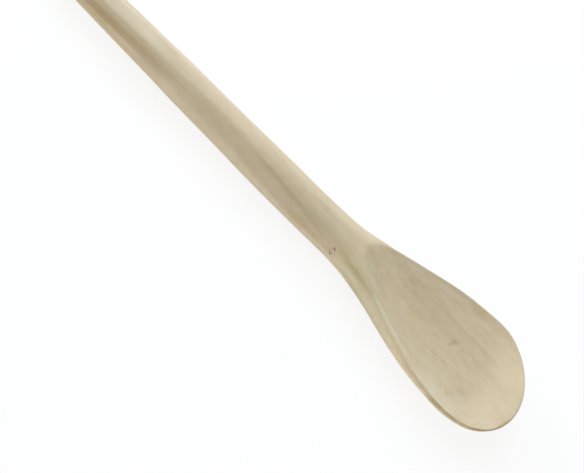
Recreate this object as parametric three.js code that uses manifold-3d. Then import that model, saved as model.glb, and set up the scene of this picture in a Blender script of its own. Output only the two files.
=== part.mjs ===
// A wooden stirring paddle in three pieces: a turned handle that ends in a round tenon, a dished blade with a
// socket in its round neck, and a peg driven across the neck through the tenon.
// Millimetres. +X runs from the handle's end to the blade's tip, +Y across the blade, +Z up out of the dished face.
// The origin lies under the middle of the paddle, on the surface that the paddle lies on.
import * as THREE from 'three';
import { mergeVertices } from 'three/addons/utils/BufferGeometryUtils.js';
import Module from 'manifold-3d';

// Handle
const OVERALL_LENGTH = 457;
const NECK_DIAMETER = 32;
const HANDLE_END_DIAMETER = 22;
const HANDLE_END_ROUNDING = 7;
const HANDLE_TAPER_POWER = 1.65; // 1 is a straight cone, more keeps the handle stout near the neck
const SOLE_CUT = 0.5; // depth of the flat planed along the underside

// Blade outline, seen from above
const BLADE_WIDTH = 100;
const WIDEST_FROM_TIP = 50; // from here on the outline is half an ellipse

// Blade section
const WALL_HEIGHT = 5; // from the rim down to the blade's widest level
const LEVEL_RUN = 72; // length over which the widest level climbs from the handle's axis to below the rim
const BELLY_RISE_FROM_TIP = 115; // the underside runs straight up to here, then rises to the tip
const BELLY_RISE_POWER = 1.4;
const TIP_THICKNESS = 4;

// Dished face
const SHOULDER_FROM_TIP = 162; // the face starts here, at the top of the neck
const RIM_ABOVE_AXIS = 6.4; // level that the rim settles to, above the handle's axis
const RAMP_LENGTH = 33; // length over which the face falls from the neck towards that level
const DISH_DEPTH = 3.8;
const DISH_FLATNESS = 8; // power of the dish's section, 2 is a parabola and more keeps its floor flatter
const DISH_RUN_IN = 50; // how soon the dish reaches its depth after the shoulder
const DISH_RUN_OUT = 26; // how soon it comes back up before the tip

// Pegged joint in the neck
const SEAM_BEFORE_SHOULDER = 34;
const ROUND_NECK_LENGTH = 4; // from the seam to where the neck starts to widen
const TENON_DIAMETER = 16;
const TENON_LENGTH = 38;
const TENON_CHAMFER = 1.5;
const PEG_DIAMETER = 4.8;
const PEG_FROM_SEAM = 17.1;
const PEG_TILT = THREE.MathUtils.degToRad(12); // out of level, with the end on the -Y side raised
const FIT_GAP = 0.3; // clearance round the tenon and the peg, and past the tenon's end

// Facets
const HANDLE_SIDES = 40;
const HANDLE_STEPS = 12;
const ROUNDING_STEPS = 5;
const SECTION_SIDES = 40;
const NECK_STEPS = 2;
const FLARE_STEPS = 16;
const TIP_STEPS = 12;
const FACE_STEPS_ALONG = 36;
const FACE_STEPS_ACROSS = 26;
const FACE_STEP_POWER = 1.35; // more than 1 sets the face's rows closer near the shoulder
const BORE_SIDES = 28;
const WELD = 1e-4; // vertices closer than this are one
const CUT_MARGIN = 6; // how far a cutting shape reaches past the wood

// Places along the paddle, measured from the handle's end, and heights, measured from the handle's axis
const tip = OVERALL_LENGTH;
const shoulder = tip - SHOULDER_FROM_TIP;
const seam = shoulder - SEAM_BEFORE_SHOULDER;
const flare = seam + ROUND_NECK_LENGTH;
const bellyRise = tip - BELLY_RISE_FROM_TIP;
const widest = tip - WIDEST_FROM_TIP;
const neckRadius = NECK_DIAMETER / 2;
const axisHeight = neckRadius - SOLE_CUT;
const tenonEnd = seam + TENON_LENGTH;

const { smoothstep, lerp } = THREE.MathUtils;

// Radius of the round handle and neck at x, up to the flare.
function handleRadius(x) {
  const endRadius = HANDLE_END_DIAMETER / 2;
  return neckRadius - (neckRadius - endRadius) * ((flare - x) / flare) ** HANDLE_TAPER_POWER;
}

// Half width of the blade's outline at x.
function halfWidth(x) {
  if (x < flare) return handleRadius(x);
  if (x < widest) return lerp(neckRadius, BLADE_WIDTH / 2, smoothstep(x, flare, widest));
  const towardsTip = (x - widest) / WIDEST_FROM_TIP;
  return (BLADE_WIDTH / 2) * Math.sqrt(Math.max(0, 1 - towardsTip ** 2));
}

// Height of the face's rim at x, which falls from the top of the neck and then levels out.
function rimHeight(x) {
  return RIM_ABOVE_AXIS + (neckRadius - RIM_ABOVE_AXIS) * Math.exp((shoulder - x) / RAMP_LENGTH);
}

// Height of the dished face at x, and y across the blade.
function faceHeight(x, y) {
  const inside = Math.min(x, tip);
  const fromShoulder = inside - shoulder;
  const depth = DISH_DEPTH * Math.tanh(fromShoulder / DISH_RUN_IN) * Math.tanh((tip - inside) / DISH_RUN_OUT);
  const across = Math.min(1, Math.abs(y) / Math.max(halfWidth(inside), WELD));
  return rimHeight(inside) - depth * (1 - across ** DISH_FLATNESS);
}

// Section of the uncut blade at x: half an ellipse above its widest level, and half a deeper one below it.
// That level is the handle's axis in the neck, and climbs to follow the rim along the blade.
function blankRing(x) {
  const width = halfWidth(x);
  const crown = x < flare ? width : neckRadius;
  const risen = Math.max(0, (x - bellyRise) / BELLY_RISE_FROM_TIP) ** BELLY_RISE_POWER;
  const wall = lerp(WALL_HEIGHT, TIP_THICKNESS / 2, risen);
  const underRim = Math.min(neckRadius, rimHeight(x)) - wall;
  const level = lerp(0, underRim, smoothstep(x, flare, flare + LEVEL_RUN));
  const underside = lerp(-crown, rimHeight(tip) - TIP_THICKNESS, risen);
  const ring = [];
  for (let side = 0; side < SECTION_SIDES; side += 1) {
    const angle = (2 * Math.PI * side) / SECTION_SIDES;
    const sine = Math.sin(angle);
    const height = sine > 0 ? crown - level : level - underside;
    ring.push(new THREE.Vector3(x, width * Math.cos(angle), level + height * sine));
  }
  return ring;
}

// Evenly spaced values from start to end, without the end.
function steps(start, end, count) {
  return Array.from({ length: count }, (_, index) => lerp(start, end, index / count));
}

// A geometry from points and triangles of point numbers.
function meshOf(points, triangles) {
  const geometry = new THREE.BufferGeometry().setFromPoints(points);
  geometry.setIndex(triangles);
  return geometry;
}

// Skin between rings of equal length that run anticlockwise seen from +X, closed by a fan at its first ring.
// The last ring has no width, so its two sides meet in the tip's edge.
function loft(rings) {
  const sides = rings[0].length;
  const points = rings.flat();
  const triangles = [];
  for (let ring = 0; ring + 1 < rings.length; ring += 1) {
    for (let side = 0; side < sides; side += 1) {
      const next = (side + 1) % sides;
      const here = ring * sides;
      const there = here + sides;
      triangles.push(here + side, here + next, there + side);
      triangles.push(here + next, there + next, there + side);
    }
  }
  for (let side = 1; side + 1 < sides; side += 1) triangles.push(0, side + 1, side);
  return meshOf(points, triangles);
}

// Everything above the dished face, as a block whose underside is that face.
function scoopShape() {
  const columns = FACE_STEPS_ACROSS + 1;
  const top = neckRadius + 2 * CUT_MARGIN;
  const lower = [];
  const upper = [];
  const spread = (share) => lerp(shoulder - CUT_MARGIN, tip + CUT_MARGIN, share ** FACE_STEP_POWER);
  const rows = [...steps(0, 1, FACE_STEPS_ALONG), 1].map(spread);
  for (const x of rows) {
    const reach = halfWidth(Math.min(x, tip)) + CUT_MARGIN;
    for (const y of [...steps(-reach, reach, FACE_STEPS_ACROSS), reach]) {
      lower.push(new THREE.Vector3(x, y, faceHeight(x, y)));
      upper.push(new THREE.Vector3(x, y, top));
    }
  }
  const triangles = [];
  const quad = (a, b, c, d) => triangles.push(a, b, c, a, c, d);
  const lid = lower.length;
  for (let row = 0; row + 1 < rows.length; row += 1) {
    for (let column = 0; column + 1 < columns; column += 1) {
      const corner = row * columns + column;
      quad(corner, corner + 1, corner + columns + 1, corner + columns);
      quad(lid + corner, lid + corner + columns, lid + corner + columns + 1, lid + corner + 1);
    }
    const left = row * columns;
    const right = left + columns - 1;
    quad(left, left + columns, lid + left + columns, lid + left);
    quad(right, lid + right, lid + right + columns, right + columns);
  }
  const lastRow = (rows.length - 1) * columns;
  for (let column = 0; column + 1 < columns; column += 1) {
    const end = lastRow + column;
    quad(column, lid + column, lid + column + 1, column + 1);
    quad(end, end + 1, lid + end + 1, lid + end);
  }
  return meshOf([...lower, ...upper], triangles);
}

// Handle with its rounded end and its tenon, turned about the X axis.
function handleShape() {
  const profile = [];
  const rounding = Math.min(HANDLE_END_ROUNDING, handleRadius(0));
  const fullRadius = handleRadius(rounding);
  for (let step = 0; step < ROUNDING_STEPS; step += 1) {
    const angle = (Math.PI / 2) * (step / ROUNDING_STEPS);
    const radius = fullRadius - rounding * (1 - Math.sin(angle));
    profile.push(new THREE.Vector2(radius, rounding * (1 - Math.cos(angle))));
  }
  for (const x of steps(rounding, seam, HANDLE_STEPS)) {
    profile.push(new THREE.Vector2(handleRadius(x), x));
  }
  const tenonRadius = TENON_DIAMETER / 2;
  profile.push(new THREE.Vector2(handleRadius(seam), seam));
  profile.push(new THREE.Vector2(tenonRadius, seam));
  profile.push(new THREE.Vector2(tenonRadius, tenonEnd - TENON_CHAMFER));
  profile.push(new THREE.Vector2(tenonRadius - TENON_CHAMFER, tenonEnd));
  const closed = [new THREE.Vector2(0, 0), ...profile, new THREE.Vector2(0, tenonEnd)];
  return new THREE.LatheGeometry(closed, HANDLE_SIDES).rotateZ(-Math.PI / 2);
}

// A round bar along X from start to end.
function barAlongX(diameter, start, end) {
  const bar = new THREE.CylinderGeometry(diameter / 2, diameter / 2, end - start, BORE_SIDES);
  return bar.rotateZ(Math.PI / 2).translate((start + end) / 2, 0, 0);
}

// A round bar across the neck, longer than the neck is wide, on the peg's axis.
function barAcrossNeck(diameter) {
  const length = NECK_DIAMETER + 2 * CUT_MARGIN;
  const bar = new THREE.CylinderGeometry(diameter / 2, diameter / 2, length, BORE_SIDES);
  return bar.rotateX(-PEG_TILT).translate(seam + PEG_FROM_SEAM, 0, 0);
}

// Everything below the surface that the paddle lies on.
function soleShape() {
  const block = new THREE.BoxGeometry(tip + 2 * CUT_MARGIN, BLADE_WIDTH + 2 * CUT_MARGIN, 2 * CUT_MARGIN);
  return block.translate(tip / 2, 0, -axisHeight - CUT_MARGIN);
}

const wasm = await Module();
wasm.setup();

// A solid that can be joined and cut, from a closed geometry.
function solid(geometry) {
  geometry.deleteAttribute('normal');
  geometry.deleteAttribute('uv');
  const welded = mergeVertices(geometry, WELD);
  const vertProperties = new Float32Array(welded.attributes.position.array);
  const triVerts = new Uint32Array(welded.index.array);
  return new wasm.Manifold(new wasm.Mesh({ numProp: 3, vertProperties, triVerts }));
}

// A named mesh in its own material, from a finished solid.
function piece(name, body, finish) {
  const { vertProperties, triVerts } = body.getMesh();
  const geometry = new THREE.BufferGeometry();
  geometry.setAttribute('position', new THREE.BufferAttribute(vertProperties, 3));
  geometry.setIndex(new THREE.BufferAttribute(triVerts, 1));
  geometry.computeVertexNormals();
  const mesh = new THREE.Mesh(geometry, new THREE.MeshStandardMaterial(finish));
  mesh.name = name;
  return mesh;
}

const blankStations = [
  ...steps(seam, flare, NECK_STEPS),
  ...steps(flare, widest, FLARE_STEPS),
  ...steps(0, Math.PI / 2, TIP_STEPS).map((angle) => widest + WIDEST_FROM_TIP * Math.sin(angle)),
  tip,
];
const blank = solid(loft(blankStations.map(blankRing)));
const scoop = solid(scoopShape());
const sole = solid(soleShape());
const socket = solid(barAlongX(TENON_DIAMETER + 2 * FIT_GAP, seam - CUT_MARGIN, tenonEnd + FIT_GAP));
const pegBore = solid(barAcrossNeck(PEG_DIAMETER + 2 * FIT_GAP));

const handle = solid(handleShape()).subtract(sole).subtract(pegBore);
const blade = blank.subtract(scoop).subtract(sole).subtract(socket).subtract(pegBore);
const crossPeg = solid(barAcrossNeck(PEG_DIAMETER)).intersect(blank);

const paddle = new THREE.Group();
paddle.name = 'stirring_paddle';
paddle.position.set(-OVERALL_LENGTH / 2, 0, axisHeight);
paddle.add(
  piece('handle', handle, { color: 0xd0c3a2, roughness: 0.62, metalness: 0 }),
  piece('blade', blade, { color: 0xcabb98, roughness: 0.62, metalness: 0 }),
  piece('cross_peg', crossPeg, { color: 0xbfad87, roughness: 0.68, metalness: 0 }),
);

export default paddle;
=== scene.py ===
"""Looks of a wooden stirring paddle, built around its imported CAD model.

Blender works in metres with +Z up, in the CAD model's own frame. The shapes below are worked out in
millimetres: x runs from the handle's end to the blade's tip, y across the blade, and heights count from
the handle's axis.
"""
import math

import bmesh
import bpy
import numpy as np
from mathutils import Matrix, Vector


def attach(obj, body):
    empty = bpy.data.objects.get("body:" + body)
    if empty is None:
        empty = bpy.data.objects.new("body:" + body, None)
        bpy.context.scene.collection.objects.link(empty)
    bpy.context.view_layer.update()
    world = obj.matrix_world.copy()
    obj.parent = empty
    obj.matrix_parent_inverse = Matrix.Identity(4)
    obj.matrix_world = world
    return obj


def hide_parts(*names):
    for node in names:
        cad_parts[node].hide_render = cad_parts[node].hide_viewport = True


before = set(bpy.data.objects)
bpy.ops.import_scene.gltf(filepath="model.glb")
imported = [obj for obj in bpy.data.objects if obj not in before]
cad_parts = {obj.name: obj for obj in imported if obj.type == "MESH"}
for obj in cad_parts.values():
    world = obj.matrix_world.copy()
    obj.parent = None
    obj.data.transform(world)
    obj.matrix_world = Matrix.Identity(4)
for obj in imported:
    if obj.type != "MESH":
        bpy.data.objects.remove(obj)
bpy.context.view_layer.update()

# Sizes of the CAD model, in millimetres and radians
LENGTH = 457.0
NECK_RADIUS = 16.0
HANDLE_END_RADIUS = 11.0
HANDLE_END_ROUNDING = 7.0
TAPER_POWER = 1.65
SOLE_CUT = 0.5
HALF_BLADE = 50.0
TIP_RUN = 50.0
WALL_HEIGHT = 5.0
LEVEL_RUN = 72.0
BELLY_RUN = 115.0
BELLY_POWER = 1.4
TIP_THICKNESS = 4.0
SHOULDER_FROM_TIP = 162.0
RIM_LEVEL = 6.4
RAMP = 33.0
DISH_DEPTH = 3.8
DISH_FLATNESS = 8.0
DISH_RUN_IN = 50.0
DISH_RUN_OUT = 26.0
SEAM_BEFORE_SHOULDER = 34.0
ROUND_NECK = 4.0
TENON_RADIUS = 8.0
TENON_LENGTH = 38.0
TENON_CHAMFER = 1.5
PEG_RADIUS = 2.4
PEG_FROM_SEAM = 17.1
PEG_TILT = math.radians(12.0)
FIT_GAP = 0.3

# Places along the paddle
SHOULDER = LENGTH - SHOULDER_FROM_TIP
SEAM = SHOULDER - SEAM_BEFORE_SHOULDER
FLARE = SEAM + ROUND_NECK
WIDEST = LENGTH - TIP_RUN
BELLY_RISE = LENGTH - BELLY_RUN
TENON_END = SEAM + TENON_LENGTH
PEG_X = SEAM + PEG_FROM_SEAM

# Step from the handle's end and axis into the CAD frame, and a length that reaches out of the neck
AXIS_HEIGHT = NECK_RADIUS - SOLE_CUT
FRAME_OFFSET = (-LENGTH / 2, 0.0, AXIS_HEIGHT)
PAST_NECK = 2.0 * NECK_RADIUS

# Hand finish: softened edges, and an underside that is squarer at the tip than an ellipse
EDGE_SOFTNESS = 0.8
SHOULDER_SOFTNESS = 2.0
SEAM_CHAMFER = 0.03
ELLIPSE = 2.0
TIP_LOW_SQUARENESS = 3.6

# Flats left by shaving: their number and crispness, the stretches of x where they fade to the neck's
# share and to nothing, and their turn round the handle, as (x, degrees)
SHAVED_FLATS = 8
FLATS_CRISPNESS = 30.0
FLATS_AT_NECK = 0.35
FLATS_FADE = (30.0, 130.0)
FLATS_RUN_OUT = 45.0
FLATS_GONE = (SEAM, SEAM + FLATS_RUN_OUT)
FLATS_TURNS = ((58, -15.0), (98, -9.5), (140, -1.0), (172, 0.0), (200, -14.0), (240, -24.0))

# Unevenness of hand work, as (x, value): how the width swells, and how far the shape drifts sideways
SWELLS = (
    (58, 0.97), (98, 0.99), (124, 1.03), (165, 1.0), (215, 0.99), (249, 0.97), (268, 0.98), (287, 0.968),
    (310, 0.98), (335, 1.0), (365, 1.0), (395, 0.983), (410, 0.994), (430, 1.013), (LENGTH, 1.01),
)
DRIFTS = (
    (72, 0.5), (112, 0.5), (150, 0.05), (200, -0.25), (240, -0.15), (278, 0.6),
    (317, 0.0), (403, 0.1), (421, 0.9), (442, 0.5), (LENGTH, -0.1),
)

# Seat of the peg: its fit in the hole, its ends just below the neck's skin, and two slanted gaps worn
# beside each end
PEG_SIDES = (-1.0, 1.0)
PEG_FIT = 0.02
PEG_END_CHAMFER = 0.03
PEG_SUNK = 0.03
GAP_FROM_PEG_AXIS = 2.7
GAP_HALF_LENGTH = 1.35
GAP_HALF_WIDTH = 0.55
GAP_DEPTH = 0.7
GAP_SLANT = math.radians(-45.0)

# Mesh fineness: counts, and steps in millimetres
STATION_STEP = 1.0
SIDE_POINTS = 120
TIP_SECTIONS = 110
DENSE = 1400
FINE_STEP = 0.12
BELL_REACH = 3.0
BEND_WEIGHT = 2.5
HANDLE_POINTS = 128
HANDLE_STEP = 2.0
ROUNDING_STEPS = 12
PEG_POINTS = 40
PEG_RINGS = 6
PEG_INNER_RING = 0.25
HALVINGS = 40
SMOOTH_BELOW = math.radians(38.0)
WELD_BELOW = 0.01

# A millimetre in metres, and a length too small to matter
MM = 0.001
TINY = 1e-6


def mix(low, high, share):
    return low + (high - low) * share


def smooth(x, low, high):
    share = np.clip((x - low) / (high - low), 0.0, 1.0)
    return share * share * (3.0 - 2.0 * share)


def along(places, x):
    """Value at x of a smooth line through places, which are given as (x, value)."""
    total = np.full(np.shape(x), float(places[0][1]))
    for (start, before), (end, after) in zip(places, places[1:]):
        total = total + (after - before) * smooth(x, start, end)
    return total


def full_turn(count):
    """Angles of count points round a circle."""
    return np.linspace(0.0, 2.0 * np.pi, count, endpoint=False)


def on_axis(x):
    """Point of the handle's axis at x."""
    return np.array([x, 0.0, 0.0])


def handle_radius(x):
    left = np.clip((FLARE - x) / FLARE, 0.0, None)
    return NECK_RADIUS - (NECK_RADIUS - HANDLE_END_RADIUS) * left**TAPER_POWER


def half_width(x):
    widening = mix(NECK_RADIUS, HALF_BLADE, smooth(x, FLARE, WIDEST))
    towards_tip = np.clip((x - WIDEST) / TIP_RUN, 0.0, 1.0)
    return np.where(x < FLARE, handle_radius(x), widening * np.sqrt(1.0 - towards_tip**2))


def rim_height(x):
    return mix(RIM_LEVEL, NECK_RADIUS, np.exp((SHOULDER - x) / RAMP))


def face_height(x, y):
    """Height of the dished face."""
    inside = np.minimum(x, LENGTH)
    run_in = np.tanh((inside - SHOULDER) / DISH_RUN_IN)
    run_out = np.tanh((LENGTH - inside) / DISH_RUN_OUT)
    across = np.minimum(1.0, np.abs(y) / np.maximum(half_width(inside), TINY))
    return rim_height(inside) - DISH_DEPTH * run_in * run_out * (1.0 - across**DISH_FLATNESS)


def blank_heights(x):
    """Widest level of the uncut blade, its height above that level, and its depth below it."""
    crown = np.where(x < FLARE, handle_radius(x), NECK_RADIUS)
    risen = np.clip((x - BELLY_RISE) / BELLY_RUN, 0.0, None) ** BELLY_POWER
    under_rim = np.minimum(NECK_RADIUS, rim_height(x)) - mix(WALL_HEIGHT, TIP_THICKNESS / 2, risen)
    level = under_rim * smooth(x, FLARE, FLARE + LEVEL_RUN)
    underside = mix(-crown, rim_height(LENGTH) - TIP_THICKNESS, risen)
    return level, crown - level, level - underside


def half_section(foot, way, reach):
    """Dense points in the upright plane along way, from the top middle over the edge to the bottom."""
    turn = np.linspace(0.5 * np.pi, -0.5 * np.pi, DENSE)
    upper = turn > 0.0
    low_square = mix(ELLIPSE, TIP_LOW_SQUARENESS, way[0] ** 2)
    power = np.where(upper, 1.0, ELLIPSE / low_square)
    across = reach * np.cos(turn) ** power
    x = foot + way[0] * across
    y = way[1] * across
    level, above, below = blank_heights(x)
    rise = np.abs(np.sin(turn)) ** power
    blank = level + np.where(upper, above, -below) * rise
    z = np.where(upper, np.minimum(blank, face_height(x, y)), blank)
    return np.stack([x, y, np.maximum(z, -AXIS_HEIGHT)], axis=1)


def bell(spread):
    """Weights of a bell curve whose spread is given in samples."""
    reach = int(math.ceil(BELL_REACH * spread))
    weights = np.exp(-0.5 * (np.arange(-reach, reach + 1) / spread) ** 2)
    return weights / weights.sum()


def resampled(points, places, wanted):
    return np.stack([np.interp(wanted, places, column) for column in points.T], axis=1)


def softened(points, foot):
    """A half section with rounded corners, as SIDE_POINTS + 1 points set closer where it bends."""
    steps = np.linalg.norm(np.diff(points, axis=0), axis=1)
    travel = np.concatenate([[0.0], np.cumsum(steps)])
    fine = resampled(points, travel, np.arange(0.0, travel[-1], FINE_STEP))
    weights = bell(EDGE_SOFTNESS / FINE_STEP)
    reach = len(weights) // 2
    mirror = np.array([-1.0, -1.0, 1.0])
    offset = on_axis(2.0 * foot)
    before = offset + mirror * fine[reach:0:-1]
    after = offset + mirror * fine[-2 : -reach - 2 : -1]
    padded = np.concatenate([before, fine, after])
    curve = np.stack([np.convolve(column, weights, "valid") for column in padded.T], axis=1)
    middle = np.array([foot, 0.0])
    full_reach = np.linalg.norm(fine[:, :2] - middle, axis=1).max()
    kept_reach = np.linalg.norm(curve[:, :2] - middle, axis=1).max()
    curve[:, :2] = middle + (curve[:, :2] - middle) * full_reach / kept_reach
    heading = np.gradient(curve, axis=0)
    heading /= np.linalg.norm(heading, axis=1, keepdims=True)
    bend = np.linalg.norm(np.gradient(heading, axis=0), axis=1) / FINE_STEP
    effort = np.concatenate([[0.0], np.cumsum(1.0 + BEND_WEIGHT * bend[1:])])
    spread = resampled(curve, effort, np.linspace(0.0, effort[-1], SIDE_POINTS + 1))
    spread[[0, -1], :2] = [foot, 0.0]
    return spread


def softened_along(rings):
    """Rings whose y and z are evened out along the paddle, which rounds the shoulder."""
    weights = bell(SHOULDER_SOFTNESS / STATION_STEP)
    reach = len(weights) // 2
    padded = np.pad(rings, ((reach, reach), (0, 0), (0, 0)), mode="edge")
    result = rings.copy()
    count = len(rings)
    result[:, :, 1:] = sum(w * padded[k : k + count, :, 1:] for k, w in enumerate(weights))
    return result


def flat_sided(angle):
    """Distance from the middle to the skin of a flat-sided section; it is 1 at the middle of a side."""
    total = 0.0
    for side in range(SHAVED_FLATS):
        facing = np.cos(angle - 2.0 * np.pi * side / SHAVED_FLATS)
        total = total + np.maximum(facing, 0.0) ** FLATS_CRISPNESS
    return total ** (-1.0 / FLATS_CRISPNESS)


FLAT_SIDED_MEAN = flat_sided(np.linspace(0.0, 2.0 * np.pi, DENSE)).mean()


def shaved(points):
    """Presses the flats left by shaving into points of the handle and the neck."""
    x, y, z = points[..., 0], points[..., 1], points[..., 2]
    amount = mix(1.0, FLATS_AT_NECK, smooth(x, *FLATS_FADE)) * (1.0 - smooth(x, *FLATS_GONE))
    turned = np.arctan2(y, z) - np.radians(along(FLATS_TURNS, x))
    share = mix(1.0, flat_sided(turned) / FLAT_SIDED_MEAN, amount)
    return np.stack([x, y * share, np.maximum(z * share, -AXIS_HEIGHT)], axis=-1)


def to_frame(points):
    """From millimetres along the paddle to metres in the CAD frame."""
    points = np.asarray(points, float)
    moved = points + np.array(FRAME_OFFSET)
    moved[:, 1] = points[:, 1] * along(SWELLS, points[:, 0]) + along(DRIFTS, points[:, 0])
    return moved * MM


def mesh_object(name, points, faces):
    """A closed mesh whose faces all look outwards."""
    mesh = bpy.data.meshes.new(name)
    mesh.from_pydata(to_frame(points).tolist(), [], faces)
    work = bmesh.new()
    work.from_mesh(mesh)
    bmesh.ops.recalc_face_normals(work, faces=work.faces)
    work.to_mesh(mesh)
    work.free()
    made = bpy.data.objects.new(name, mesh)
    bpy.context.scene.collection.objects.link(made)
    return made


def tube(rings, first_centre, last_centre):
    """Points and faces of a tube through rings of equal length, closed by a fan at each end."""
    count = len(rings[0])
    points = [*np.concatenate(rings), first_centre, last_centre]
    faces = []
    for ring in range(len(rings) - 1):
        for k in range(count):
            here = ring * count + k
            following = ring * count + (k + 1) % count
            faces.append((here, here + count, following + count, following))
    start = len(rings) * count
    last = start - count
    for k in range(count):
        following = (k + 1) % count
        faces.append((start, k, following))
        faces.append((start + 1, last + following, last + k))
    return points, faces


def tip_faces(first, second):
    """Faces between two half sections that share their top and bottom points."""
    last = len(first) - 1
    quads = [(first[k], second[k], second[k + 1], first[k + 1]) for k in range(1, last - 1)]
    return [(first[0], second[1], first[1]), (first[last - 1], second[last - 1], first[last]), *quads]


def blade_rings():
    """Rings across the neck and the blade, from the seam to the widest place."""
    rings = []
    for x in np.arange(SEAM, WIDEST + 0.5 * STATION_STEP, STATION_STEP):
        far = softened(half_section(x, (0.0, 1.0), half_width(x)), x)
        near = far[-2:0:-1] * np.array([1.0, -1.0, 1.0])
        rings.append(np.concatenate([far, near]))
    rings = shaved(softened_along(np.array(rings)))
    pulled_in = 1.0 - SEAM_CHAMFER / NECK_RADIUS
    mouth = rings[:1] * np.array([1.0, pulled_in, pulled_in])
    rings[0, :, 0] += SEAM_CHAMFER
    return np.concatenate([mouth, rings])


def blade_form():
    """The blade: its rings, and half sections that fan round the tip in place of the tube's last fan."""
    rings = blade_rings()
    count = 2 * SIDE_POINTS
    points, faces = tube(list(rings), on_axis(SEAM), rings[-1, 0])
    points.pop()
    faces = [face for face in faces if len(points) not in face]
    last = (len(rings) - 1) * count
    previous = [last + k for k in range(SIDE_POINTS + 1)]
    end = [last + (count - k) % count for k in range(SIDE_POINTS + 1)]
    for section in range(1, TIP_SECTIONS):
        angle = 0.5 * np.pi - np.pi * section / TIP_SECTIONS
        way = (math.cos(angle), math.sin(angle))
        reach = 1.0 / math.hypot(way[0] / TIP_RUN, way[1] / HALF_BLADE)
        start = len(points)
        points += list(softened(half_section(WIDEST, way, reach), WIDEST)[1:-1])
        row = [previous[0], *range(start, start + SIDE_POINTS - 1), previous[-1]]
        faces += tip_faces(previous, row)
        previous = row
    faces += tip_faces(previous, end)
    return mesh_object("blade_body", points, faces)


def handle_profile():
    """The handle's outside as (x, radius): a rounded end, the taper, and the seam's chamfer."""
    profile = []
    full = handle_radius(HANDLE_END_ROUNDING)
    for angle in np.linspace(0.0, 0.5 * np.pi, ROUNDING_STEPS, endpoint=False):
        radius = full - HANDLE_END_ROUNDING * (1.0 - math.sin(angle))
        profile.append((HANDLE_END_ROUNDING * (1.0 - math.cos(angle)), radius))
    for x in np.arange(HANDLE_END_ROUNDING, SEAM - SEAM_CHAMFER, HANDLE_STEP):
        profile.append((x, handle_radius(x)))
    profile.append((SEAM - SEAM_CHAMFER, handle_radius(SEAM)))
    profile.append((SEAM, handle_radius(SEAM) - SEAM_CHAMFER))
    return profile


TENON_PROFILE = (
    (SEAM, TENON_RADIUS),
    (TENON_END - TENON_CHAMFER, TENON_RADIUS),
    (TENON_END, TENON_RADIUS - TENON_CHAMFER),
)


def round_rings(profile):
    """Round rings about the handle's axis, one for each (x, radius) of a profile."""
    turn = full_turn(HANDLE_POINTS)
    rings = []
    for x, radius in profile:
        place = np.full(HANDLE_POINTS, x)
        rings.append(np.stack([place, radius * np.sin(turn), radius * np.cos(turn)], axis=1))
    return np.array(rings)


def handle_form():
    """The handle: its shaved outside, and the tenon that goes into the neck."""
    outside = shaved(round_rings(handle_profile()))
    rings = [*outside, *round_rings(TENON_PROFILE)]
    return mesh_object("handle_body", *tube(rings, on_axis(0.0), on_axis(TENON_END)))


# Axes of the peg: along it towards its raised end, along the paddle, and round the neck
PEG_WAY = np.array([0.0, -math.cos(PEG_TILT), math.sin(PEG_TILT)])
PADDLE_WAY = np.array([1.0, 0.0, 0.0])
ROUND_WAY = np.array([0.0, math.sin(PEG_TILT), math.cos(PEG_TILT)])


def on_peg(out, forward, around):
    """A point from its places on the peg's three axes."""
    return on_axis(PEG_X) + out * PEG_WAY + forward * PADDLE_WAY + around * ROUND_WAY


def in_neck(point):
    """Whether a point lies inside the neck."""
    x, y, z = point
    level, above, below = blank_heights(x)
    rise = (z - level) / (above if z > level else below)
    return (y / half_width(x)) ** 2 + rise**2 < 1.0


def neck_reach(side, forward, around):
    """How far the neck's skin lies from its axis, along one end of the peg."""
    near = 0.0
    far = PAST_NECK
    for _ in range(HALVINGS):
        middle = 0.5 * (near + far)
        if in_neck(on_peg(side * middle, forward, around)):
            near = middle
        else:
            far = middle
    return near


def peg_ring(side, radius, sunk):
    """A ring round one end of the peg, sunk below the neck's skin."""
    ring = []
    for angle in full_turn(PEG_POINTS):
        forward = radius * math.cos(angle)
        around = radius * math.sin(angle)
        reach = neck_reach(side, forward, around) - sunk
        ring.append(on_peg(side * reach, forward, around))
    return np.array(ring)


def peg_form():
    """The cross peg, whose two ends follow the neck's round skin."""
    rings = []
    flat = PEG_RADIUS - PEG_END_CHAMFER
    shares = np.linspace(PEG_INNER_RING, 1.0, PEG_RINGS)
    for side in PEG_SIDES:
        end = [peg_ring(side, flat * share, PEG_SUNK) for share in shares]
        end.append(peg_ring(side, PEG_RADIUS, PEG_SUNK + PEG_END_CHAMFER))
        rings += end if side < 0.0 else end[::-1]
    centres = [peg_ring(side, 0.0, PEG_SUNK)[0] for side in PEG_SIDES]
    return mesh_object("peg_body", *tube(rings, *centres))


def bar(name, start, end, first_axis, second_axis):
    """A cutting bar from start to end; the two axes are the half axes of its oval section."""
    turn = full_turn(PEG_POINTS)[:, None]
    oval = first_axis * np.cos(turn) + second_axis * np.sin(turn)
    return mesh_object(name, *tube([start + oval, end + oval], start, end))


def peg_bore():
    """Cutter for the peg's hole, right through the neck."""
    radius = PEG_RADIUS + PEG_FIT
    start = on_peg(-PAST_NECK, 0.0, 0.0)
    end = on_peg(PAST_NECK, 0.0, 0.0)
    return bar("peg_bore", start, end, radius * PADDLE_WAY, radius * ROUND_WAY)


def socket():
    """Cutter for the tenon's socket, with the joint's clearance."""
    radius = TENON_RADIUS + FIT_GAP
    start = on_axis(SEAM - FIT_GAP)
    end = on_axis(TENON_END + FIT_GAP)
    return bar("socket", start, end, np.array([0.0, radius, 0.0]), np.array([0.0, 0.0, radius]))


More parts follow.
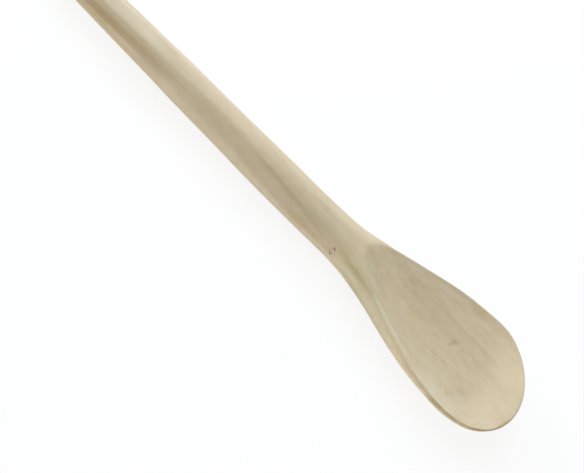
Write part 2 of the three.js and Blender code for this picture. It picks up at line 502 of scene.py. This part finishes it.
def mouth_gaps():
    """Cutters for the slanted gaps above and below the peg, at both of its ends."""
    long_way = math.cos(GAP_SLANT) * PADDLE_WAY + math.sin(GAP_SLANT) * ROUND_WAY
    short_way = math.cos(GAP_SLANT) * ROUND_WAY - math.sin(GAP_SLANT) * PADDLE_WAY
    axes = (GAP_HALF_LENGTH * long_way, GAP_HALF_WIDTH * short_way)
    gaps = []
    for side in PEG_SIDES:
        for around in (-GAP_FROM_PEG_AXIS, GAP_FROM_PEG_AXIS):
            depth = neck_reach(side, 0.0, around) - GAP_DEPTH
            start = on_peg(side * depth, 0.0, around)
            end = on_peg(side * PAST_NECK, 0.0, around)
            gaps.append(bar("mouth_gap", start, end, *axes))
    return gaps


def cut(piece, cutters):
    """Cuts the cutters out of a piece, welds close points, and shades it smooth but for sharp edges."""
    for cutter in cutters:
        step = piece.modifiers.new("cut", "BOOLEAN")
        step.operation = "DIFFERENCE"
        step.solver = "EXACT"
        step.object = cutter
    view = bpy.context.evaluated_depsgraph_get()
    result = bpy.data.meshes.new_from_object(piece.evaluated_get(view))
    piece.modifiers.clear()
    piece.data = result
    for cutter in cutters:
        bpy.data.objects.remove(cutter)
    work = bmesh.new()
    work.from_mesh(result)
    bmesh.ops.remove_doubles(work, verts=work.verts, dist=WELD_BELOW * MM)
    work.to_mesh(result)
    work.free()
    result.shade_smooth()
    result.set_sharp_from_angle(angle=SMOOTH_BELOW)


blade = blade_form()
handle = handle_form()
peg = peg_form()
cut(blade, [socket(), peg_bore(), *mouth_gaps()])
cut(handle, [peg_bore()])
cut(peg, mouth_gaps())


class Nodes:
    """Adds nodes to one node tree. A value may be a number, a tuple, or another node's output."""

    def __init__(self, tree):
        self.tree = tree
        tree.nodes.clear()

    def add(self, kind, inputs=None, **settings):
        node = self.tree.nodes.new("ShaderNode" + kind)
        for name, value in settings.items():
            setattr(node, name, value)
        for name, value in (inputs or {}).items():
            if isinstance(value, bpy.types.NodeSocket):
                self.tree.links.new(value, node.inputs[name])
            else:
                node.inputs[name].default_value = value
        return node

    def math(self, operation, first, second=0.0):
        return self.add("Math", {0: first, 1: second}, operation=operation).outputs[0]

    def noise(self, place, stretch, detail, shift):
        """Noise whose cycles in a metre along x, y and z are given by stretch."""
        mapped = self.add("Mapping", {"Vector": place, "Location": shift, "Scale": stretch}).outputs[0]
        return self.add("TexNoise", {"Vector": mapped, "Scale": 1.0, "Detail": detail}).outputs["Fac"]

    def ramp(self, value, low, high, at_low=0.0, at_high=1.0):
        """A smooth step from at_low to at_high, while value goes from low to high."""
        inputs = {"Value": value, "From Min": low, "From Max": high, "To Min": at_low, "To Max": at_high}
        return self.add("MapRange", inputs, interpolation_type="SMOOTHSTEP").outputs["Result"]

    def blend(self, share, first, second, mode="MIX"):
        node = self.add("Mix", {0: share, 6: first, 7: second}, data_type="RGBA", blend_type=mode)
        return node.outputs[2]


# Noise in the wood, as (cycles in a metre along x, y and z, detail), and waves of its growth rings
STREAKS = ((7.0, 120.0, 120.0), 3.0)
FIBRES = ((45.0, 950.0, 950.0), 4.0)
THREADS = ((160.0, 4200.0, 4200.0), 2.0)
PORES = ((170.0, 3300.0, 3300.0), 1.0)
BLOTCHES = ((24.0, 45.0, 45.0), 3.0)
MOTTLE = ((130.0, 190.0, 190.0), 2.0)
RING_WAVES = {"Scale": 80.0, "Distortion": 2.2, "Detail": 2.0, "Detail Scale": 9.0}

# Ramps of the noise, as (noise at the start, noise at the end, value at the start, value at the end)
STREAK_RAMP = (0.3, 0.7, 0.05, 0.35)
FIBRE_RAMP = (0.3, 0.7, 0.1, 0.3)
PORE_RAMP = (0.66, 0.76, 0.0, 1.0)
BLOTCH_RAMP = (0.35, 0.7, 0.0, 0.5)
MOTTLE_RAMP = (0.35, 0.7, 0.0, 0.6)
ROUGHNESS_RAMP = (0.6, 1.4, 0.7, 0.82)
RING_SHARE = 0.15
PORE_SHARE = 0.3

# Colours that blotches, mottle and pores are multiplied by at full strength
BLOTCH_COLOR = (0.93, 0.93, 0.86, 1.0)
MOTTLE_COLOR = (0.92, 0.90, 0.84, 1.0)
PORE_COLOR = (0.7, 0.6, 0.45, 1.0)

# Relief and gloss of the sanded surface; the bump's distance is in metres
FIBRE_RELIEF = 0.5
THREAD_RELIEF = 0.35
PORE_RELIEF = 0.5
BUMP_STRENGTH = 0.35
BUMP_DISTANCE = 0.0001
GLOSS = 0.25

# End grain: the colour that it is multiplied by, how far a surface faces along x where it starts and is
# full, and the ramp from waves to the strength of its growth rings
END_GRAIN = (0.60, 0.54, 0.44, 1.0)
END_GRAIN_FACING = (0.5, 0.95)
END_RING_RAMP = (0.45, 1.0, 0.0, 0.45)

# Colours of paler patches of painted light, and colours that darker shades and marks are multiplied by at
# full strength
CREAM = (0.680, 0.630, 0.455, 1.0)
TAN = (0.720, 0.610, 0.420, 1.0)
MILKY = (0.700, 0.610, 0.470, 1.0)
BROWN = (0.66, 0.52, 0.30, 1.0)
OLIVE = (0.62, 0.60, 0.30, 1.0)
GREY = (0.60, 0.60, 0.60, 1.0)
SAGE = (0.72, 0.93, 0.93, 1.0)

# Spots in the wood's colour, as (colour, x, y, half length, half width, angle in degrees, strength).
# Inside the core, a share of the way from its middle to its edge, a spot has its full strength. The paler
# patches are painted light and a painted highlight. The soft shades are painted shade, except for the
# grain streaks, the spot, the tint and the tip's edge noted among them. The ragged marks are stains and
# flecks in the wood.
SPOT_CORE = 0.25
PAINTED_LIGHT_PATCHES = (
    # painted light: the handle lighter towards its end, and on its lit top
    (MILKY, 40.0, 0.0, 320.0, 80.0, 0.0, 0.24),
    (TAN, 84.0, -1.5, 18.0, 4.0, 0.0, 0.3),
    # painted light on the near side of the face and round the tip
    (CREAM, 397.8, -38.4, 34.0, 8.0, -5.0, 0.45),
    (CREAM, 391.0, -28.0, 26.0, 9.0, -3.0, 0.3),
    (TAN, 432.4, -26.7, 20.0, 20.0, 0.0, 0.55),
    (TAN, 440.0, 0.0, 28.0, 38.0, 0.0, 0.35),
    (TAN, 434.0, 24.0, 26.0, 22.0, 0.0, 0.3),
    # painted highlight along the crest of the near rim
    (TAN, 345.0, -30.5, 34.0, 3.0, -18.0, 0.55),
    # painted light on the face's near side, the neck, the handle and the near rim's inner edge
    (CREAM, 362.0, -26.0, 36.0, 7.0, -8.0, 0.22),
    (CREAM, 264.0, -7.0, 30.0, 5.5, 0.0, 0.35),
    (CREAM, 205.0, -13.0, 40.0, 2.6, -4.0, 0.15),
    (CREAM, 82.0, -3.0, 34.0, 6.0, 0.0, 0.3),
    (CREAM, 268.0, 2.0, 20.0, 8.0, 0.0, 0.25),
    (CREAM, 388.0, -43.9, 24.0, 4.5, -8.0, 0.4),
    (CREAM, 404.0, -46.4, 22.0, 2.0, 2.0, 0.5),
    (CREAM, 311.5, -15.2, 16.0, 4.5, -14.0, 0.4),
    (CREAM, 304.0, -8.5, 9.0, 6.0, 0.0, 0.3),
    (CREAM, 417.0, -32.0, 11.0, 8.0, 0.0, 0.35),
    # painted light on the far side of the face, the shoulder and the neck's near wall
    (MILKY, 367.0, 37.0, 24.0, 5.0, 14.5, 0.4),
    (MILKY, 331.0, 26.0, 16.0, 5.0, 22.0, 0.35),
    (MILKY, 295.0, 9.0, 14.0, 6.0, 0.0, 0.25),
    (MILKY, 297.0, -20.5, 14.0, 2.5, -15.0, 0.4),
    # painted light on the handle's top near its end, and on its lower near side where the floor lights it
    (MILKY, 62.0, 0.0, 30.0, 6.0, 0.0, 0.4),
    (MILKY, 60.0, -13.4, 30.0, 2.0, 0.0, 0.5),
    # painted light on the neck's near wall below the crest
    (TAN, 329.7, -24.7, 16.0, 2.6, -16.0, 0.45),
)
PAINTED_SHADE_AND_TONE = (
    # painted shade over the face's far half
    (GREY, 372.0, 20.0, 75.0, 34.0, 4.0, 0.13),
    # a dark grain streak across the face's far half, with painted shade in the dish's valley
    (BROWN, 365.0, 15.0, 52.0, 13.0, 3.0, 0.17),
    (BROWN, 366.0, 30.0, 30.0, 14.0, 8.0, 0.10),
    # painted shade on the ramp below the shoulder
    (GREY, 336.0, 15.0, 34.0, 22.0, 0.0, 0.12),
    # a dark spot in the wood near the far rim
    (OLIVE, 393.6, 41.4, 9.0, 6.0, 5.0, 0.14),
    # painted shade: the dark band on the neck's near side below the crest
    (OLIVE, 298.5, -18.6, 27.0, 1.9, -15.6, 0.41),
    # a long dark grain line along the handle
    (BROWN, 226.0, -11.3, 60.0, 1.5, -4.2, 0.2),
    # painted shade along the underside of the near rim
    (OLIVE, 399.0, -48.6, 13.0, 1.8, 0.0, 0.58),
    (OLIVE, 414.0, -48.4, 9.0, 1.8, 8.0, 0.22),
    # darker edge round the tip: partly the raw edge's own tone, partly painted shade
    (BROWN, 437.3, -39.4, 14.0, 2.2, 38.0, 0.45),
    (BROWN, 452.0, -19.2, 13.0, 2.4, 68.0, 0.4),
    # a greener tint on the neck's near wall
    (SAGE, 318.0, -24.0, 45.0, 7.0, -15.6, 0.22),
    # painted shade on the handle's far facet near its end
    (GREY, 64.0, 6.5, 42.0, 4.5, 0.0, 0.18),
    # painted shade near the tip's near edge
    (GREY, 437.0, -34.7, 11.0, 3.0, 41.0, 0.25),
    # painted shade on the lower near side of the handle and the neck, and below the peg
    (GREY, 226.0, -16.8, 34.0, 2.4, 0.0, 0.24),
    (GREY, 95.0, -13.6, 18.0, 2.0, 0.0, 0.2),
    (GREY, 276.0, -16.6, 8.0, 2.2, 0.0, 0.22),
    # painted shade along the dark core of the handle's near side, near its end
    (BROWN, 74.0, -10.9, 66.0, 2.5, 0.0, 0.42),
    (BROWN, 45.0, -10.6, 34.0, 3.0, 0.0, 0.3),
    # painted shade on the handle's lower near side by the seam
    (BROWN, 256.0, -15.9, 32.0, 1.6, -1.0, 0.32),
)
MARKS = (
    (BROWN, 338.0, 15.0, 6.0, 4.0, 20.0, 0.16),
    (BROWN, 343.0, 9.0, 6.0, 4.0, 20.0, 0.16),
    (BROWN, 335.0, 8.0, 4.0, 3.0, 0.0, 0.12),
    (BROWN, 389.3, 4.6, 5.5, 2.2, 55.0, 0.45),
    (BROWN, 387.0, 0.4, 3.0, 1.8, -40.0, 0.32),
    (BROWN, 397.7, 4.5, 3.2, 2.2, 0.0, 0.25),
    (BROWN, 402.0, 6.0, 3.0, 1.2, 0.0, 0.18),
    (BROWN, 381.5, -15.7, 5.0, 1.6, 5.0, 0.2),
    (BROWN, 391.4, -15.7, 5.5, 1.9, -4.0, 0.2),
    (BROWN, 397.4, -34.0, 2.6, 0.9, -38.0, 0.3),
    (BROWN, 404.4, -34.0, 2.4, 0.8, -42.0, 0.4),
    (BROWN, 104.1, 2.2, 6.0, 1.2, 0.0, 0.2),
    (BROWN, 160.4, 9.6, 3.0, 1.0, 20.0, 0.25),
    (BROWN, 229.5, 10.6, 3.0, 0.8, 15.0, 0.25),
    (BROWN, 236.5, 10.6, 2.4, 0.8, -20.0, 0.25),
    (BROWN, 250.5, 11.0, 2.4, 0.8, 10.0, 0.25),
)

# Noise that makes the marks ragged, how far it pushes them in metres, and the depth below the handle's
# axis, in millimetres, over which all spots fade out
RAGGED = {"Scale": 330.0, "Detail": 2.0}
NOISE_MIDDLE = (0.5, 0.5, 0.5)
MARK_PUSH = (0.004, 0.004, 0.0)
SPOTS_FADE = 7.0
SPOTS_FADE_IN = ((AXIS_HEIGHT - SPOTS_FADE) * MM, AXIS_HEIGHT * MM)


def spot_share(nodes, place, x, y, half_length, half_breadth, angle, strength):
    """Share of an oval spot: its strength in the middle, and 0 from its edge on."""
    inputs = {
        "Vector": place,
        "Location": ((x + FRAME_OFFSET[0]) * MM, y * MM, 0.0),
        "Rotation": (0.0, 0.0, math.radians(angle)),
        "Scale": (half_length * MM, half_breadth * MM, 1.0),
    }
    mapped = nodes.add("Mapping", inputs, vector_type="TEXTURE").outputs[0]
    distance = nodes.add("VectorMath", {0: mapped}, operation="LENGTH").outputs["Value"]
    return nodes.ramp(distance, SPOT_CORE, 1.0, strength, 0.0)


def pushed_about(nodes, place):
    """The place, pushed to and fro by noise."""
    push = nodes.add("TexNoise", {"Vector": place, **RAGGED}).outputs["Color"]
    push = nodes.add("VectorMath", {0: push, 1: NOISE_MIDDLE}, operation="SUBTRACT").outputs[0]
    push = nodes.add("VectorMath", {0: push, 1: MARK_PUSH}, operation="MULTIPLY").outputs[0]
    return nodes.add("VectorMath", {0: place, 1: push}, operation="ADD").outputs[0]


def with_painted_light_and_marks(nodes, place, color):
    """The wood's colour with painted light, painted shade and tone, and ragged stains, fading out
    underneath.
    """
    plain = color
    for light_color, *spot in PAINTED_LIGHT_PATCHES:
        color = nodes.blend(spot_share(nodes, place, *spot), color, light_color)
    for shade_or_tone_color, *spot in PAINTED_SHADE_AND_TONE:
        color = nodes.blend(spot_share(nodes, place, *spot), color, shade_or_tone_color, "MULTIPLY")
    pushed = pushed_about(nodes, place)
    for mark_color, *spot in MARKS:
        color = nodes.blend(spot_share(nodes, pushed, *spot), color, mark_color, "MULTIPLY")
    height = nodes.add("SeparateXYZ", {0: place}).outputs["Z"]
    return nodes.blend(nodes.ramp(height, *SPOTS_FADE_IN), plain, color)


def growth_rings(nodes, place, pith, shift):
    """Waves round the pith, which runs along x."""
    centred = nodes.add("Mapping", {"Vector": place, "Location": (shift, -pith[0], -pith[1])}).outputs[0]
    form = {"wave_type": "RINGS", "rings_direction": "X", "wave_profile": "SAW"}
    return nodes.add("TexWave", {"Vector": centred, **RING_WAVES}, **form).outputs["Fac"]


def end_darkened(nodes, normal, rings, color):
    """The wood's colour, darker on end grain, where the growth rings show too."""
    facing = nodes.add("SeparateXYZ", {0: normal}).outputs["X"]
    end_share = nodes.ramp(nodes.math("ABSOLUTE", facing), *END_GRAIN_FACING)
    color = nodes.blend(end_share, color, END_GRAIN, "MULTIPLY")
    ring_share = nodes.math("MULTIPLY", end_share, nodes.ramp(rings, *END_RING_RAMP))
    return nodes.blend(ring_share, color, BROWN, "MULTIPLY")


def fine_bump(nodes, fibres, threads, pores):
    """Raised fibres and threads, and sunken pores, as a normal."""
    raised = nodes.math("MULTIPLY", fibres, FIBRE_RELIEF)
    raised = nodes.math("ADD", raised, nodes.math("MULTIPLY", threads, THREAD_RELIEF))
    relief = nodes.math("SUBTRACT", raised, nodes.math("MULTIPLY", pores, PORE_RELIEF))
    inputs = {"Height": relief, "Strength": BUMP_STRENGTH, "Distance": BUMP_DISTANCE}
    return nodes.add("Bump", inputs).outputs[0]


def wood(name, pale, deep, pith, shift, has_painted_light_and_marks):
    """Bare sanded wood with its grain along x; pith is the y and z of its rings' middle, in metres."""
    made = bpy.data.materials.new(name)
    made.use_nodes = True
    nodes = Nodes(made.node_tree)
    coordinates = nodes.add("TexCoord").outputs
    place = coordinates["Object"]
    rings = growth_rings(nodes, place, pith, shift)
    streaks = nodes.noise(place, *STREAKS, (shift, 0.0, 0.0))
    fibres = nodes.noise(place, *FIBRES, (shift, 0.0, 0.0))
    threads = nodes.noise(place, *THREADS, (shift, 0.0, 0.0))
    pores = nodes.ramp(nodes.noise(place, *PORES, (0.0, shift, 0.0)), *PORE_RAMP)
    blotches = nodes.noise(place, *BLOTCHES, (0.0, 0.0, shift))
    mottle = nodes.noise(place, *MOTTLE, (shift, shift, 0.0))

    grain = nodes.math("MULTIPLY", rings, RING_SHARE)
    grain = nodes.math("ADD", grain, nodes.ramp(streaks, *STREAK_RAMP))
    grain = nodes.math("ADD", grain, nodes.ramp(fibres, *FIBRE_RAMP))
    color = nodes.blend(grain, pale, deep)
    color = nodes.blend(nodes.ramp(blotches, *BLOTCH_RAMP), color, BLOTCH_COLOR, "MULTIPLY")
    color = nodes.blend(nodes.ramp(mottle, *MOTTLE_RAMP), color, MOTTLE_COLOR, "MULTIPLY")
    color = nodes.blend(nodes.math("MULTIPLY", pores, PORE_SHARE), color, PORE_COLOR, "MULTIPLY")
    if has_painted_light_and_marks:
        color = with_painted_light_and_marks(nodes, place, color)

    inputs = {
        "Base Color": end_darkened(nodes, coordinates["Normal"], rings, color),
        "Roughness": nodes.ramp(nodes.math("ADD", fibres, blotches), *ROUGHNESS_RAMP),
        "Specular IOR Level": GLOSS,
        "Normal": fine_bump(nodes, fibres, threads, pores),
    }
    shader = nodes.add("BsdfPrincipled", inputs)
    nodes.add("OutputMaterial", {"Surface": shader.outputs[0]})
    return made


# Woods, as (pale grain, deep grain, y and z of the pith, shift that gives each wood its own grain)
PADDLE_WOOD = ((0.640, 0.540, 0.368, 1.0), (0.530, 0.430, 0.264, 1.0), (-0.015, -0.060), 0.83)
PEG_WOOD = ((0.580, 0.480, 0.320, 1.0), (0.470, 0.370, 0.220, 1.0), (0.002, 0.010), 0.57)
FINISHES = (
    (handle, "handle", "handle_wood", wood("handle_look", *PADDLE_WOOD, has_painted_light_and_marks=True)),
    (blade, "blade", "blade_wood", wood("blade_look", *PADDLE_WOOD, has_painted_light_and_marks=True)),
    (peg, "cross_peg", "peg_wood", wood("peg_look", *PEG_WOOD, has_painted_light_and_marks=False)),
)
for piece, node, slot, look in FINISHES:
    piece.data.materials.clear()
    piece.data.materials.append(look)
    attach(piece, "root")
    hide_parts(node)

# Stage: a white floor and a white studio round it, in metres
FLOOR_SIDE = 24.0
FLOOR_COLOR = (0.9, 0.9, 0.9, 1.0)
FLOOR_SHOWN_WHITE = 0.88
SKY_SHOWN_WHITE = 1.0
SKY_STRENGTH = 0.565
SKY_COLOR = (1.0, 0.97, 0.89, 1.0)
WHITE = (1.0, 1.0, 1.0, 1.0)


def seen_share(nodes, share):
    """The share for rays from the camera, glossy surfaces and glass, and 0 for the other rays."""
    rays = nodes.add("LightPath").outputs
    seen = nodes.math("MAXIMUM", rays["Is Camera Ray"], rays["Is Glossy Ray"])
    seen = nodes.math("MAXIMUM", seen, rays["Is Transmission Ray"])
    return nodes.math("MULTIPLY", seen, share)


half = FLOOR_SIDE / 2
corners = [(-half, -half, 0.0), (half, -half, 0.0), (half, half, 0.0), (-half, half, 0.0)]
floor_mesh = bpy.data.meshes.new("floor")
floor_mesh.from_pydata(corners, [], [(0, 1, 2, 3)])
floor = bpy.data.objects.new("floor", floor_mesh)
bpy.context.scene.collection.objects.link(floor)
paint = bpy.data.materials.new("floor_paint")
paint.use_nodes = True
nodes = Nodes(paint.node_tree)
matt = nodes.add("BsdfDiffuse", {"Color": FLOOR_COLOR}).outputs[0]
white = nodes.add("Emission", {"Color": WHITE}).outputs[0]
shown = nodes.add("MixShader", {0: seen_share(nodes, FLOOR_SHOWN_WHITE), 1: matt, 2: white}).outputs[0]
nodes.add("OutputMaterial", {"Surface": shown})
floor_mesh.materials.append(paint)

studio = bpy.data.worlds.new("studio")
bpy.context.scene.world = studio
studio.use_nodes = True
nodes = Nodes(studio.node_tree)
sky = nodes.add("Background", {"Color": SKY_COLOR, "Strength": SKY_STRENGTH}).outputs[0]
white = nodes.add("Background", {"Color": WHITE}).outputs[0]
shown = nodes.add("MixShader", {0: seen_share(nodes, SKY_SHOWN_WHITE), 1: sky, 2: white}).outputs[0]
nodes.add("OutputWorld", {"Surface": shown})

# Lamps aimed at the middle of the paddle, as (name, azimuth, elevation, distance, side, power, colour),
# in degrees, metres and watts
LAMPS = (
    ("softbox", 135.0, 40.0, 1.5, 1.5, 19.8, (0.87, 1.0, 1.28)),
    ("low_lamp", 173.0, 9.0, 3.5, 1.67, 87.0, (1.0, 1.0, 1.06)),
)
AIM = Vector((0.0, 0.0, 0.02))
for name, azimuth, elevation, distance, side, power, tint in LAMPS:
    lamp = bpy.data.lights.new(name, "AREA")
    lamp.size = side
    lamp.energy = power
    lamp.color = tint
    around = math.radians(azimuth)
    above = math.radians(elevation)
    level = math.cos(above)
    way = Vector((level * math.cos(around), level * math.sin(around), math.sin(above)))
    holder = bpy.data.objects.new(name, lamp)
    holder.location = AIM + distance * way
    holder.rotation_euler = way.to_track_quat("Z", "Y").to_euler()
    bpy.context.scene.collection.objects.link(holder)

# Panels just above the floor beside the paddle, which light its underside as a bright floor does, as
# (name, middle, sides, power), in metres and watts
PANEL_HEIGHT = 0.001
PANEL_TINT = (0.93, 1.0, 1.2)
PANELS = (
    ("handle_panel", (-0.088, -0.0375), (0.324, 0.045), 0.026),
    ("blade_panel", (0.145, -0.075), (0.21, 0.05), 0.036),
)
for name, middle, sides, power in PANELS:
    panel = bpy.data.lights.new(name, "AREA")
    panel.shape = "RECTANGLE"
    panel.size, panel.size_y = sides
    panel.energy = power
    panel.color = PANEL_TINT
    holder = bpy.data.objects.new(name, panel)
    holder.location = (*middle, PANEL_HEIGHT)
    holder.rotation_euler = (math.pi, 0.0, 0.0)
    holder.visible_camera = False
    bpy.context.scene.collection.objects.link(holder)

# Camera, placed from the outline of the paddle in the photograph, in millimetres; it sees from CLIP_START
# metres on
CAMERA_PLACE = (133.81, -638.13, 718.3)
CAMERA_FORWARD = Vector((0.12267, 0.64191, -0.75691))
CAMERA_UP = Vector((-0.69917, 0.59737, 0.39282))
LENS = 85.0
SENSOR = 36.0
CLIP_START = 0.01
lens = bpy.data.cameras.new("camera")
lens.sensor_fit = "HORIZONTAL"
lens.sensor_width = SENSOR
lens.lens = LENS
lens.clip_start = CLIP_START
camera = bpy.data.objects.new("camera", lens)
right = CAMERA_FORWARD.cross(CAMERA_UP).normalized()
up = right.cross(CAMERA_FORWARD).normalized()
turn = Matrix((right, up, -CAMERA_FORWARD.normalized())).transposed().to_4x4()
spot = Vector(CAMERA_PLACE) + Vector(FRAME_OFFSET)
camera.matrix_world = Matrix.Translation(spot * MM) @ turn
bpy.context.scene.collection.objects.link(camera)
bpy.context.scene.camera = camera
bpy.context.scene.view_settings.view_transform = "Standard"
